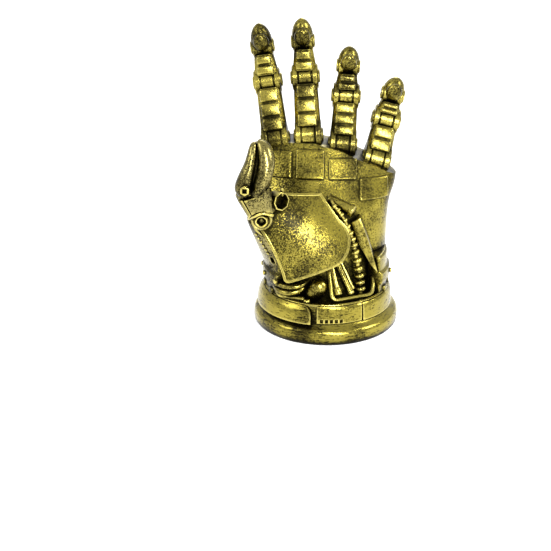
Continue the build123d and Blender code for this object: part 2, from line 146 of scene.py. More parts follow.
def carve(piece, *tools, operation="DIFFERENCE"):
    """Cuts the tools out of the piece, or unites them with it, and removes them."""
    for tool in tools:
        modify(piece, "BOOLEAN", object=tool, operation=operation, solver="MANIFOLD")
        bpy.data.objects.remove(tool)
    return piece


def unite(*pieces):
    return carve(*pieces, operation="UNION")


# Shapes to start from

def facing(origin, normal, up=(0, 0, 1)):
    """Matrix that takes +Z to the normal and +Y as near as it can to up."""
    z = Vector(normal).normalized()
    x = Vector(up).cross(z).normalized()
    y = z.cross(x)
    return Matrix.Translation(Vector(origin)) @ Matrix((x, y, z)).transposed().to_4x4()


def block(name, size, taper=(1, 1)):
    """A box standing on the XY plane, its top face scaled by the taper."""
    deselect()
    bpy.ops.mesh.primitive_cube_add(size=1, location=(0, 0, 0.5))
    piece = named(name)
    edit(piece)
    bpy.ops.transform.resize(value=size, center_override=(0, 0, 0))
    choose(piece, lambda middle, normal: normal.z > 0.9)
    bpy.ops.transform.resize(value=(*taper, 1), center_override=(0, 0, 0))
    return done()


def drum(name, radius, height, sides=ROUND_SIDES, end_radius=None):
    """An upright drum or cone frustum standing on the XY plane."""
    deselect()
    bpy.ops.mesh.primitive_cone_add(
        vertices=sides, radius1=radius, radius2=radius if end_radius is None else end_radius,
        depth=height, location=(0, 0, height / 2),
    )
    return named(name)


def ball(name, radii, centre=(0, 0, 0), segments=ROUND_SIDES, rings=16):
    deselect()
    bpy.ops.mesh.primitive_uv_sphere_add(segments=segments, ring_count=rings, radius=1, location=(0, 0, 0))
    bpy.ops.transform.resize(value=radii, center_override=(0, 0, 0))
    bpy.ops.transform.translate(value=centre)
    return named(name)


def first_point(name, place):
    """A piece that is one vertex so far, in edit mode."""
    deselect()
    bpy.ops.mesh.primitive_plane_add(size=1, location=place)
    piece = named(name)
    edit(piece)
    bpy.ops.mesh.merge(type="CENTER")
    return piece


def draw(name, points, closed=False):
    """A line of edges drawn point by point, left in edit mode."""
    piece = first_point(name, points[0])
    for start, end in zip(points, points[1:]):
        step = Vector(end) - Vector(start)
        bpy.ops.mesh.extrude_region_move(TRANSFORM_OT_translate={"value": step})
    bpy.ops.mesh.select_all(action="SELECT")
    if closed:
        ends = [Vector(points[0]), Vector(points[-1])]
        choose(piece, lambda place, normal: min((place - end).length for end in ends) < 1e-4, kind="VERT")
        bpy.ops.mesh.edge_face_add()
        bpy.ops.mesh.select_all(action="SELECT")
    return piece


def lathe(name, profile, steps=128, start=0.0, arc=2 * pi):
    """Spins a profile of radius and height pairs about the upright axis."""
    whole = arc > 6.28
    points = [(radius * cos(start), radius * sin(start), height) for radius, height in profile]
    draw(name, points, closed=not whole)
    bpy.ops.mesh.select_all(action="SELECT")
    if not whole:
        bpy.ops.mesh.edge_face_add()
    bpy.ops.mesh.spin(steps=steps, angle=arc, center=(0, 0, 0), axis=(0, 0, -1))
    return clean(done())


def prism(name, outline, thickness):
    """A plate standing on the XY plane, drawn by its outline."""
    draw(name, [(x, y, 0) for x, y in outline], closed=True)
    bpy.ops.mesh.edge_face_add()
    bpy.ops.mesh.extrude_region_move(TRANSFORM_OT_translate={"value": (0, 0, thickness)})
    return clean(done())


def arc_points(start, middle, end, count):
    """Points along the circle arc through three points of a plane, the ends among them."""
    (ax, ay), (bx, by), (cx, cy) = start, middle, end
    a, b, c = ax * ax + ay * ay, bx * bx + by * by, cx * cx + cy * cy
    double_area = 2 * (ax * (by - cy) + bx * (cy - ay) + cx * (ay - by))
    centre_x = (a * (by - cy) + b * (cy - ay) + c * (ay - by)) / double_area
    centre_y = (a * (cx - bx) + b * (ax - cx) + c * (bx - ax)) / double_area
    radius = sqrt((ax - centre_x) ** 2 + (ay - centre_y) ** 2)
    first, mid, last = (atan2(y - centre_y, x - centre_x) for x, y in (start, middle, end))
    sweep = (last - first) % (2 * pi)
    if (mid - first) % (2 * pi) > sweep:
        sweep -= 2 * pi
    turns = [first + sweep * step / count for step in range(count + 1)]
    return [(centre_x + radius * cos(turn), centre_y + radius * sin(turn)) for turn in turns]


def bar(name, start, end, radius, end_radius=None, rounding=0.3, sides=20):
    """A round bar between two points, its ends rounded."""
    start, end = Vector(start), Vector(end)
    piece = drum(name, radius, (end - start).length, sides=sides, end_radius=end_radius)
    if rounding:
        soften(piece, rounding, segments=2, angle=60)
    up = (0, 1, 0) if abs((end - start).normalized().z) > 0.9 else (0, 0, 1)
    return move(piece, facing(start, end - start, up))


def tube(name, points, radius, smooth=True, resolution=8, sides=6):
    """A round tube along a curve through the points' run, its ends capped."""
    deselect()
    bpy.ops.curve.primitive_nurbs_path_add()
    piece = bpy.context.object
    curve = piece.data
    curve.splines.clear()
    spline = curve.splines.new("NURBS")
    spline.points.add(len(points) - 1)
    for point, place in zip(spline.points, points):
        point.co = (*place, 1)
    spline.order_u = 3 if smooth else 2
    spline.use_endpoint_u = True
    spline.resolution_u = resolution
    curve.bevel_depth = radius
    curve.bevel_resolution = sides
    curve.use_fill_caps = True
    piece.location = (0, 0, 0)
    bpy.ops.object.convert(target="MESH")
    return clean(named(name))


def spot(x, y, rise):
    return Vector((x, y, WELL + rise))


# Plinth: disc, cuff with its panels, and the teeth under the front panel

DISC_RADIUS = 35.1
CUFF_BORE = 28.3
RING_RADIUS = 30.1
PANEL_RADIUS = 31.3
DISC_TOP = 8.0
LEDGE_TOP = 10.8
RIM = 19.5
LEFT_PANEL = (-185, -12.5)  # angles from the viewer's side, positive to the right
FRONT_PANEL = (-7.5, 33.4)
RIGHT_PANEL = (34.6, 168.0)
NOTCH_SIZE = (1.6, 5.0, 1.9)
NOTCH_ANGLES = [-3.4 + 4.3 * index for index in range(5)]


def plinth():
    """Disc with a rounded edge, and the cuff's ring round the well, in one turned body."""
    disc_edge = [
        (-2.2, 0), (-1.1, 0.3), (-0.35, 1.2), (0, 3.0), (0, 5.0), (-0.25, 6.4), (-0.8, 7.4),
        (-1.7, DISC_TOP), (-2.7, DISC_TOP + 0.5), (-3.5, DISC_TOP + 1.3),
    ]
    ring = [
        (RING_RADIUS + 0.5, LEDGE_TOP - 0.4), (RING_RADIUS, LEDGE_TOP), (RING_RADIUS, RIM - 0.9),
        (RING_RADIUS - 0.3, RIM - 0.3), (RING_RADIUS - 0.9, RIM), (CUFF_BORE + 0.5, RIM - 0.3),
        (CUFF_BORE, RIM - 1.0), (CUFF_BORE - 0.2, WELL + 0.8), (CUFF_BORE - 1.0, WELL),
    ]
    profile = [(0, 0)] + [(DISC_RADIUS + shift, height) for shift, height in disc_edge] + ring + [(0, WELL)]
    return lathe("plinth", profile, steps=160)


def on_panel(angle, standing_out, height):
    """Matrix that brings the viewer's side of the panels' circle to an angle and a height."""
    turn = Matrix.Rotation(radians(angle), 4, "Z")
    return turn @ Matrix.Translation((0, -PANEL_RADIUS - standing_out, height))


def plinth_panel(name, start, end, flare, corner):
    """One curved panel round the cuff, from the start angle to the end angle, its upper corners
    rounded and its foot standing out by the flare."""
    middle = (LEDGE_TOP + RIM) / 2
    outer = [
        (PANEL_RADIUS + flare, LEDGE_TOP - 0.5), (PANEL_RADIUS + flare * 0.93, LEDGE_TOP + 1.6),
        (PANEL_RADIUS + flare * 0.78, middle - 0.6), (PANEL_RADIUS + flare * 0.5, middle + 1.4),
        (PANEL_RADIUS + flare * 0.15, RIM - 1.7), (PANEL_RADIUS - 0.6, RIM - 0.7),
        (PANEL_RADIUS - 1.6, RIM - 0.45),
    ]
    profile = [(RING_RADIUS - 0.6, RIM - 0.5), (RING_RADIUS - 0.6, LEDGE_TOP - 0.5)] + outer
    first, arc = radians(start - 90), radians(end - start)
    steps = max(8, int((end - start) / 2.2))
    piece = lathe(name, profile, steps=steps, start=first, arc=arc)
    for angle, side in ((start, 1), (end, -1)):
        cutter = block("corner", (2 * corner, 8, corner + 1))
        round_end = move(drum("round", corner, 10, sides=32), facing((corner, 5, 0), (0, -1, 0)))
        carve(cutter, round_end)
        if side < 0:
            edit(cutter)
            bpy.ops.transform.mirror(constraint_axis=(True, False, False), center_override=(0, 0, 0))
            bpy.ops.mesh.flip_normals()
            done()
        carve(piece, move(cutter, on_panel(angle, 0, RIM - 0.4 - corner)))
    return soften(piece, 0.35, segments=2, angle=40)


def make_plinth():
    """The plinth with three panels round its cuff, and a row of notches in the front one."""
    body = plinth()
    left = plinth_panel("left_panel", *LEFT_PANEL, flare=2.2, corner=5.2)
    front = plinth_panel("front_panel", *FRONT_PANEL, flare=0.2, corner=0.8)
    for angle in NOTCH_ANGLES:
        notch = block("notch", NOTCH_SIZE)
        carve(front, move(notch, on_panel(angle, 1.9, LEDGE_TOP - 0.3)))
    right = plinth_panel("right_panel", *RIGHT_PANEL, flare=0.6, corner=0.8)
    return unite(body, left, front, right)


# Wrist: a sleeve that is open in front, round a core that lies in the dark

WRIST_RADIUS = 29.5
WRIST_BORE = 23.0
BAND_RADIUS = 30.9
WINDOW = (-50.0, 60.0)  # angles of the opening in front
RIB_COUNT = 11


def around(angle, radius, rise):
    """Matrix of a place on a circle about the plinth's axis: +Y up, +Z outwards."""
    turn = radians(angle - 90)
    out = Vector((cos(turn), sin(turn), 0))
    return facing(out * radius + Vector((0, 0, WELL + rise)), out)


def make_wrist():
    """The sleeve with a raised band, ribs under the band and bolts on it."""
    profile = [
        (WRIST_BORE, WELL - 1.2), (WRIST_RADIUS, WELL - 1.2), (WRIST_RADIUS, WELL + 10.6),
        (BAND_RADIUS, WELL + 11.5), (BAND_RADIUS, WELL + 16.5), (WRIST_RADIUS, WELL + 17.4),
        (WRIST_RADIUS, WELL + 24.2), (WRIST_RADIUS - 0.9, WELL + 25.0), (WRIST_BORE, WELL + 25.0),
    ]
    first, arc = radians(WINDOW[1] - 90), radians(360 - WINDOW[1] + WINDOW[0])
    sleeve = soften(lathe("wrist", profile, steps=120, start=first, arc=arc), 0.5, segments=3)
    core = drum("core", 1, 26.2, sides=96, end_radius=0.8)
    move(core, Matrix.Translation((0, 0, WELL - 1.2)) @ Matrix.Diagonal((27, 18, 1, 1)))
    parts = [core]
    for index in range(RIB_COUNT):
        angle = 72 + 226 * index / (RIB_COUNT - 1)
        rib = soften(block("rib", (4.2, 7.0, 1.6), taper=(0.8, 0.9)), 0.4)
        parts.append(move(rib, around(angle, WRIST_RADIUS - 0.6, 5.2)))
        bolt = soften(drum("bolt", 1.25, 1.3, sides=6), 0.25)
        parts.append(move(bolt, around(angle + 11.3, BAND_RADIUS - 0.3, 14)))
    return unite(sleeve, *parts)


# Palm, its pads, the strips on the back of the hand, and the thumb mound

# Ovals of the palm from below: rise, centre x and y, width and depth
PALM = [
    (14, 0, 6, 57.8, 45), (32, -2.5, 6, 63, 41), (47, -2.5, 6, 65, 37), (58, 0, 9, 66, 29),
    (75, 0, 13.5, 67, 17),
]
KNUCKLE_X = [-25.0, -9.2, 7.2, 23.5]
KNUCKLE_RISE = [74.5, 76.6, 72.5, 65.0]
KNUCKLE_SETBACK = 13.5
KNUCKLE_RADIUS = 7.6


def between(p, q, r, s, t):
    """The value at a share t of the way from q to r, on a smooth curve through p, q, r and s."""
    bend = (2 * p - 5 * q + 4 * r - s) * t * t
    twist = (3 * q - p - 3 * r + s) * t ** 3
    return 0.5 * (2 * q + (r - p) * t + bend + twist)


def smooth_stations(stations, count):
    """Stations along a smooth run through the given ones, count of them from each to the next."""
    ends = [stations[0]] + stations + [stations[-1]]
    run = []
    for four in zip(ends, ends[1:], ends[2:], ends[3:]):
        for step in range(count):
            run.append(tuple(between(*values, step / count) for values in zip(*four)))
    return run + [tuple(stations[-1])]


def loft(name, stations, sides=64):
    """Ovals drawn one above another: rise, centre x and y, width and depth."""
    rise, x, y, width, depth = stations[0]
    deselect()
    bpy.ops.mesh.primitive_circle_add(vertices=sides, radius=0.5, fill_type="NGON", location=(0, 0, 0))
    bpy.ops.transform.resize(value=(width, depth, 1), center_override=(0, 0, 0))
    bpy.ops.transform.translate(value=spot(x, y, rise))
    piece = named(name)
    edit(piece)
    for below, above in zip(stations, stations[1:]):
        shift = spot(*above[1:3], above[0]) - spot(*below[1:3], below[0])
        bpy.ops.mesh.extrude_region_move(TRANSFORM_OT_translate={"value": shift})
        growth = (above[3] / below[3], above[4] / below[4], 1)
        bpy.ops.transform.resize(value=growth, center_override=spot(*above[1:3], above[0]))
    return clean(done())


def sample(points, count):
    """Points at even steps along a polyline, without its last point."""
    lengths = [0.0]
    for (ax, ay), (bx, by) in zip(points, points[1:]):
        lengths.append(lengths[-1] + sqrt((bx - ax) ** 2 + (by - ay) ** 2))
    places = []
    for step in range(count):
        goal = lengths[-1] * step / count
        index = max(i for i, length in enumerate(lengths[:-1]) if length <= goal + 1e-9)
        share = (goal - lengths[index]) / (lengths[index + 1] - lengths[index])
        (ax, ay), (bx, by) = points[index], points[index + 1]
        places.append((ax + (bx - ax) * share, ay + (by - ay) * share))
    return places


def plate_over(name, sides, counts, target, thickness, edge, rim=0.0):
    """A plate laid over a curved piece: its four drawn sides are filled with a grid, and that is
    pressed onto the piece from the front, thickened and rounded at its edge."""
    outline = []
    for side, count in zip(sides, counts):
        outline += sample(side, count)
    draw(name, [spot(x, -60.0, rise) for x, rise in outline], closed=True)
    bpy.ops.mesh.select_mode(type="EDGE")
    bpy.ops.mesh.select_all(action="SELECT")
    bpy.ops.mesh.fill_grid(span=counts[0], use_interp_simple=True)
    piece = done()
    modify(
        piece, "SHRINKWRAP", target=target, wrap_method="PROJECT", use_project_x=False, use_project_y=True,
        use_project_z=False, use_positive_direction=True, use_negative_direction=False,
    )
    clean(piece)
    modify(piece, "SOLIDIFY", thickness=thickness, offset=0)
    if rim:
        edit(piece)
        choose(piece, lambda middle, normal: normal.y < -0.4)
        bpy.ops.mesh.inset(thickness=rim, depth=0, use_even_offset=False)
        bpy.ops.mesh.inset(thickness=rim * 0.4, depth=-rim * 0.3, use_even_offset=False)
        done()
    return soften(piece, edge, segments=3, angle=50)


def mound_barrel(grow, name="barrel"):
    """The barrel that the thumb mound follows, larger all round by grow."""
    fall, yaw = radians(34), radians(14)
    along = Vector((cos(fall) * cos(yaw), cos(fall) * sin(yaw), -sin(fall)))
    curve = arc_points((34 + grow, -48), (50 + grow, 0), (34 + grow, 48), 56)
    piece = lathe(name, [(0, -48)] + curve + [(0, 48)], steps=200)
    return move(piece, facing(spot(-9, 18, 19), along))


# Outline of the smooth plate over the thumb mound, side by side, as x and rise
COVER_CORNER = (-18.64, 18.75)
COVER_BOTTOM = [COVER_CORNER, (-17.1, 18.64), (4.7, 26.0)]
COVER_RIGHT = arc_points((4.7, 26.0), (10.9, 35.7), (5.8, 45.8), 16) + [(-3.2, 57.2)]
COVER_TOP = [(-3.2, 57.2), (-22.5, 58.5)]
COVER_LEFT = [(-22.5, 58.5), (-31.5, 51.0)]
COVER_LEFT += arc_points((-31.6, 43.9), (-24.0, 31.9), (-19.68, 19.88), 16) + [COVER_CORNER]
COVER_SIDES = (COVER_BOTTOM, COVER_RIGHT, COVER_TOP, COVER_LEFT)
COVER_OUTLINE = COVER_BOTTOM[:-1] + COVER_RIGHT + COVER_TOP[1:] + COVER_LEFT[1:-1]
COVER_THICKNESS = 2.4


def cover_plate():
    """The smooth plate over the thumb mound, with a raised rim."""
    barrel = mound_barrel(-COVER_THICKNESS / 2)
    plate = plate_over("cover_plate", COVER_SIDES, (20, 30, 20, 30), barrel, COVER_THICKNESS, 0.7, rim=0.9)
    bpy.data.objects.remove(barrel)
    return plate


def grown(outline, amount):
    """An outline drawn larger all round by the amount, corner by corner."""
    places = []
    following = outline[1:] + outline[:1]
    area = sum(ax * by - bx * ay for (ax, ay), (bx, by) in zip(outline, following))
    for before, corner, after in zip(outline[-1:] + outline[:-1], outline, following):
        first = (Vector(corner) - Vector(before)).normalized()
        second = (Vector(after) - Vector(corner)).normalized()
        out = Vector((first.y + second.y, -first.x - second.x)).normalized()
        reach = min(1.6, 1 / max(0.2, out.dot(Vector((first.y, -first.x)))))
        place = Vector(corner) + out * amount * reach * (1 if area > 0 else -1)
        places.append((place.x, place.y))
    return places


def cover_clearance():
    """The room round and behind the cover plate, cut from what lies beside it."""
    room = prism("room", grown(COVER_OUTLINE, 1.3), 45)
    move(room, facing((0, 0, WELL), (0, -1, 0)))
    return carve(room, mound_barrel(-4.0))


def thumb_mound():
    """The swelling behind the cover plate, with a round trough over it."""
    mound = prism("mound", grown(COVER_OUTLINE, -2.2), 45)
    move(mound, facing((0, 0, WELL), (0, -1, 0)))
    carve(mound, mound_barrel(-1.8), operation="INTERSECT")
    saddle = drum("saddle", 15, 49, sides=96)
    move(saddle, facing(spot(-25, -6, 69.0), (1, 0, 0)))
    return carve(mound, saddle)


# Top edge of the palm, from the thumb's side, as x and rise
CROWN = [(-40.0, 70.5), (-22.0, 75.0), (-6.0, 75.0), (7.2, 71.5), (23.5, 64.5), (40.0, 56.5)]

# Pads on the palm: middle, lower edge and upper edge
PADS = [(-23.6, 60.0, 71.5), (-8.2, 60.0, 72.5), (7.4, 60.0, 69.0), (22.0, 51.0, 60.5)]
PAD_WIDTH = 13.4


def palm_block():
    return loft("palm", smooth_stations(PALM, 5), sides=96)


def palm_body():
    """The palm, cut off along its crown."""
    body = palm_block()
    above = prism("above", CROWN + [(40.0, 90.0), (-40.0, 90.0)], 75)
    carve(body, move(above, facing((0, 50, WELL), (0, -1, 0))))
    return soften(body, 1.3, segments=3, angle=60)


def palm_pads(palm):
    """Raised pads under the roots of the fingers."""
    pads = []
    for x, low, top in PADS:
        left, right = x - PAD_WIDTH / 2, x + PAD_WIDTH / 2
        corners = [(left, low), (right, low), (right, top), (left, top)]
        sides = list(zip(corners, corners[1:] + corners[:1]))
        pads.append(plate_over("pad", sides, (12, 12, 12, 12), palm, 2.4, 0.8))
    return pads


def back_strip(place, length):
    """One long plate with a bolt at each end and a rod that lies in its slot."""
    strip = move(soften(block("strip", (11, 6.6, length)), 1.6, segments=3), place)
    for share in (0.10, 0.90):
        bolt = soften(drum("bolt", 1.6, 2.2, sides=6), 0.3)
        lift = Matrix.Translation((0, 2.2, length * share)) @ Matrix.Rotation(-pi / 2, 4, "X")
        unite(strip, move(bolt, place @ lift))
    slot = soften(block("slot", (4.2, 3.0, length * 0.5)), 0.9)
    carve(strip, move(slot, place @ Matrix.Translation((0, 3.9, length * 0.25))))
    rod = bar("rod", (0, 2.7, length * 0.22), (0, 2.7, length * 0.78), 1.1)
    return unite(strip, move(rod, place))


def back_strips():
    """Long plates from the wrist to the knuckles, over the back of the hand."""
    strips = []
    for index in range(4):
        turn = radians((index - 1.5) * 25)
        foot = spot(28.1 * sin(turn), 28.1 * cos(turn), 26)
        head = spot(KNUCKLE_X[index], KNUCKLE_SETBACK + KNUCKLE_RADIUS - 2.2, KNUCKLE_RISE[index])
        run = head - foot
        place = facing(foot, run, up=(sin(turn / 2), cos(turn / 2), 0))
        strips.append(back_strip(place, run.length))
    return strips


def make_palm():
    uncut = palm_block()
    pads = palm_pads(uncut)
    bpy.data.objects.remove(uncut)
    palm = carve(palm_body(), cover_clearance())
    return unite(palm, thumb_mound(), *pads, *back_strips())


# Thumb

THUMB_HINGE = spot(-34.6, -31.5, 64.8)
THUMB_PIVOT = spot(-30.2, -24.0, 50.0)
ROOT_FOOT, ROOT_HEAD = spot(-16.5, -4.0, 22.0), spot(-30.6, -21.5, 50.0)
SEGMENT_FOOT = spot(-30.2, -29.5, 52.6)
BOLT_SOCKET = facing(spot(-37.4, -41.2, 67.9), (-0.15, -1, 0.05))
RING_PLACE = facing(spot(-24.6, -26.5, 58.4), (0.62, -0.75, 0.1))
LIP = [(-36.2, -31.0, 50.4), (-33.6, -35.3, 53.0), (-29.6, -36.4, 55.3), (-24.8, -35.0, 53.6)]

# Ovals of the last segment's two lobes and of its core: rise, centre x and y, width and depth
LEFT_LOBE = [
    (63.8, -38.3, -35.4, 5.4, 6.4), (65.6, -38.4, -35.4, 7.6, 8.0), (68.3, -38.2, -35.4, 8.4, 8.8),
    (72.7, -37.1, -34.9, 7.6, 8.6), (78.1, -35.4, -33.8, 5.8, 7.6), (82.4, -34.5, -32.6, 4.6, 6.4),
    (85.2, -34.1, -31.5, 3.8, 5.2), (86.9, -33.8, -31.0, 2.8, 3.8), (87.7, -33.6, -30.7, 1.4, 2.0),
]
RIGHT_LOBE = [
    (64.0, -32.6, -35.6, 4.4, 6.0), (65.8, -32.2, -35.6, 6.2, 7.8), (68.4, -30.9, -35.4, 7.8, 9.2),
    (72.8, -29.1, -34.7, 8.4, 9.4), (78.1, -28.0, -33.6, 8.2, 8.8), (82.3, -28.1, -32.4, 7.6, 8.0),
    (85.4, -28.9, -31.3, 6.8, 7.0), (87.6, -29.9, -30.5, 5.0, 5.2), (88.7, -30.6, -30.2, 2.2, 2.6),
]
LEAF_CORE = [
    (64.0, -36.8, -32.2, 10.6, 10.6), (68.4, -35.3, -31.6, 13.2, 11.2), (72.4, -33.7, -30.8, 13.6, 11.0),
    (77.7, -31.8, -29.8, 12.2, 10.0), (82.0, -31.0, -28.8, 9.8, 8.6), (84.8, -31.2, -28.4, 7.4, 7.0),
    (86.8, -31.5, -28.2, 4.0, 4.2),
]
SEGMENT_FACETS = [
    (-8.6, 2.5), (-7.2, -4.2), (-3.6, -7.0), (4.2, -7.0), (8.4, -3.0), (8.6, 4.0), (5.0, 7.0), (-5.5, 7.0),
]


def thumb_leaf():
    """The last segment: two rounded lobes with a furrow between them."""
    leaf = loft("leaf", smooth_stations(LEAF_CORE, 4), sides=48)
    lobes = [loft("lobe", smooth_stations(lobe, 4), sides=40) for lobe in (LEFT_LOBE, RIGHT_LOBE)]
    leaf = unite(leaf, *lobes)
    bolt = soften(drum("bolt", 2.4, 5.0, sides=6), 0.35)
    move(bolt, BOLT_SOCKET @ Matrix.Translation((0, 0, -3.9)))
    recess = block("recess", (2.3, 2.3, 3))
    carve(bolt, move(recess, BOLT_SOCKET @ Matrix.Translation((0, 0, -0.6))))
    return unite(leaf, bolt)


def thumb_segment():
    """The first segment, a faceted sleeve that widens towards its hinge."""
    run = THUMB_HINGE - Vector((0, 0, 0.6)) - SEGMENT_FOOT
    body = prism("segment", SEGMENT_FACETS, run.length)
    edit(body)
    choose(body, lambda middle, normal: middle.z < 1 and abs(normal.z) > 0.9)
    bpy.ops.transform.resize(value=(0.82, 0.82, 1), center_override=(0, 0, 0))
    done()
    soften(body, 0.5, segments=2)
    seam = block("seam", (0.8, 3.0, 20.0))
    carve(body, move(seam, Matrix.Translation((-3.4, -6.4, -3)) @ Matrix.Rotation(radians(-4), 4, "Y")))
    move(body, facing(SEGMENT_FOOT, run, up=(0, 1, 0)))
    arch = drum("arch", 5.8, 14, sides=48)
    carve(body, move(arch, facing(THUMB_PIVOT, (0, -1, 0))))
    return unite(body, bent_tube("lip", LIP, 0.7, 1.5))


def thumb_pivot():
    """Round joint between the mound and the first segment, with a bore in front."""
    profile = [
        (0, 0), (5.0, 0), (5.0, 8.0), (4.5, 8.5), (3.3, 8.2), (3.0, 9.9), (2.7, 10.3), (2.3, 10.3),
        (2.0, 9.9), (1.9, 7.6), (1.3, 7.6), (0.9, 8.4), (0, 8.6),
    ]
    return move(lathe("pivot", profile, steps=48), facing(THUMB_PIVOT, (0, -1, 0)))


def front_of(piece, x, rise):
    """The place and the normal of the piece's front at this x and rise."""
    hit, place, normal, index = piece.ray_cast(Vector((x, -90, WELL + rise)), Vector((0, 1, 0)))
    return place, normal


# Rivets beside the cover plate, as x and rise
RIVETS = [(-33.0, 39.7), (-31.9, 37.5), (-30.8, 35.3), (-29.7, 33.1), (-28.6, 30.9), (-27.6, 28.6)]


def rivet_strip(root):
    """A row of round rivets down the side of the thumb's root, beside the cover plate."""
    rivets = []
    for x, rise in RIVETS:
        rivet = soften(drum("rivet", 0.85, 1.7, sides=16), 0.35)
        rivets.append(move(rivet, facing(*front_of(root, x, rise)) @ Matrix.Translation((0, 0, -1.1))))
    return rivets


def bolt_ring():
    """A thin octagonal ring that stands open beside the first segment."""
    ring = soften(drum("ring", 4.5, 6.0, sides=8), 0.25)
    carve(ring, move(drum("recess", 3.95, 6, sides=8), Matrix.Translation((0, 0, 1.0))))
    return move(ring, RING_PLACE)


def make_thumb():
    """The thumb: its root in the mound, two segments, and the joints between them."""
    root = bar("thumb", ROOT_FOOT, ROOT_HEAD, 14.0, end_radius=8.0, rounding=1.5, sides=64)
    carve(root, cover_clearance())
    unite(root, *rivet_strip(root))
    slot = soften(block("slot", (2.2, 5.0, 4.0)), 0.9)
    carve(root, move(slot, facing(*front_of(root, -25.6, 24.2)) @ Matrix.Translation((0, 0, -2.0))))
    hinge = move(hinge_barrel(5.6, 13.0), facing(THUMB_HINGE, (1, 0, 0)))
    links = [
        bar("link", spot(-28.4, -28.5, 67.4), spot(-25.6, -30.0, 65.2), 1.1),
        bar("link", spot(-20.9, -28.4, 64.4), spot(-20.7, -27.6, 60.6), 0.8),
    ]
    return unite(root, thumb_segment(), thumb_pivot(), hinge, bolt_ring(), *links, thumb_leaf())


# Fingers

FINGERS = ("first_finger", "middle_finger", "ring_finger", "little_finger")
FAN = [9.0, 4.2, -3.6, -14.0]
FIRST = [28.0, 28.0, 23.0, 19.5]
SECOND = [17.0, 17.2, 14.5, 12.5]
LAST = [12.4, 12.3, 10.5, 9.5]
LEANS = (20.0, 9.5, -12.0)
SECOND_RADIUS = 6.2
LAST_RADIUS = 4.9
SHOULDER = 3.6  # from a hinge to the segment that stands on it
ROOT_SECTION = (12.6, 12.0)
MIDDLE_SECTION = (11.6, 11.0)
END_SECTION = (9.2, 9.4)
TIP_LENGTH = 12.3
TIP_OUTLINE = [
    (0, -2), (4.6, -2), (5.2, 0), (5.3, 2), (5.15, 4.2), (4.75, 6.3), (4.05, 8.3), (3.0, 10.1), (1.6, 11.5),
    (0, TIP_LENGTH),
]


def hinge_barrel(radius, width):
    """A hinge about Z: two ears, a narrower middle, and a cap at each end."""
    cap = [
        (0, -0.8), (1.0, -0.8), (1.5, -0.35), (2.3, -0.35), (2.5, -0.8), (2.9, -0.8), (3.2, -0.5), (3.2, 0),
    ]
    ear = [(-0.6, 0), (0, 0.6), (0, 2.4), (-0.3, 2.7), (-0.9, 2.7), (-0.9, 3.3), (-0.4, 3.6)]
    half = cap + [(radius + shift, height) for shift, height in ear]
    side = [(reach, height - width / 2) for reach, height in half]
    return lathe("hinge", side + [(reach, -height) for reach, height in reversed(side)], steps=40)


def phalanx(section, end_section, length):
    """A finger segment standing on the XY plane, with a pad of slats on its palm side."""
    (width, depth), (end_width, end_depth) = section, end_section
    body = block("phalanx", (width, depth, length), taper=(end_width / width, end_depth / depth))
    edit(body)
    choose(body, lambda middle, way: abs(way.z) > 0.9, kind="EDGE")
    bpy.ops.mesh.bevel(offset=2.2, segments=1, affect="EDGES")
    choose(body, lambda middle, normal: abs(normal.x) > 0.95)
    bpy.ops.mesh.inset(thickness=1.3, depth=-0.7, use_individual=True)
    choose(body, lambda middle, normal: normal.y > 0.95)
    bpy.ops.mesh.inset(thickness=1.2, depth=0.6, use_individual=True)
    soften(done(), 0.4, segments=2)
    slats = 3 if length > 14 else 2
    pitch = length / slats
    parts = []
    for index in range(slats):
        share = (index + 0.5) / slats
        slat_width = width - 2.8 + (end_width - width) * share
        slat = soften(block("slat", (slat_width, 4.0, pitch - 0.9), taper=(0.96, 0.9)), 0.9, segments=3)
        reach = -(depth + (end_depth - depth) * share) / 2 + 0.5
        parts.append(move(slat, Matrix.Translation((0, reach, index * pitch + 0.45))))
    return unite(body, *parts)


def fingertip(length):
    """The last segment: a pointed dome with a pad on its palm side."""
    growth = length / TIP_LENGTH
    tip = lathe("tip", [(radius, height * growth) for radius, height in TIP_OUTLINE], steps=48)
    pad = ball("pad", (3.9, 2.6, 5.2), centre=(0, -3.4, 4.6 * growth))
    return unite(tip, move(pad, Matrix.Rotation(radians(9), 4, "X")))


def make_finger(index):
    """One finger: three hinges with a phalanx, another phalanx and the tip standing on them."""
    fan = radians(FAN[index])
    axis = Vector((cos(fan), 0, sin(fan)))
    leans = [radians(lean) for lean in LEANS]
    runs = [Vector((-sin(fan) * cos(lean), sin(lean), cos(fan) * cos(lean))) for lean in leans]

    def along(origin, run, shoulder):
        """Matrix that stands a segment on a hinge: +X along the hinge, +Z along the segment."""
        turn = Matrix((axis, run.cross(axis), run)).transposed().to_4x4()
        return Matrix.Translation(origin) @ turn @ Matrix.Translation((0, 0, shoulder))

    knuckle = spot(KNUCKLE_X[index], KNUCKLE_SETBACK, KNUCKLE_RISE[index])
    second = knuckle + runs[0] * FIRST[index]
    last = second + runs[1] * SECOND[index]
    width = ROOT_SECTION[0]
    parts = [
        move(hinge_barrel(KNUCKLE_RADIUS, width), facing(knuckle, axis)),
        move(hinge_barrel(SECOND_RADIUS, width), facing(second, axis)),
        move(hinge_barrel(LAST_RADIUS, 9.8), facing(last, axis)),
    ]
    first_body = phalanx(ROOT_SECTION, MIDDLE_SECTION, FIRST[index] - 2 * SHOULDER)
    parts.append(move(first_body, along(knuckle, runs[0], SHOULDER)))
    second_body = phalanx(MIDDLE_SECTION, END_SECTION, SECOND[index] - 2 * SHOULDER)
    parts.append(move(second_body, along(second, runs[1], SHOULDER)))
    parts.append(move(fingertip(LAST[index]), along(last, runs[2], 0)))
    finger = unite(*parts)
    finger.name = finger.data.name = FINGERS[index]
    return finger


# Works in the wrist's opening, and the hose and blade beside the cover plate

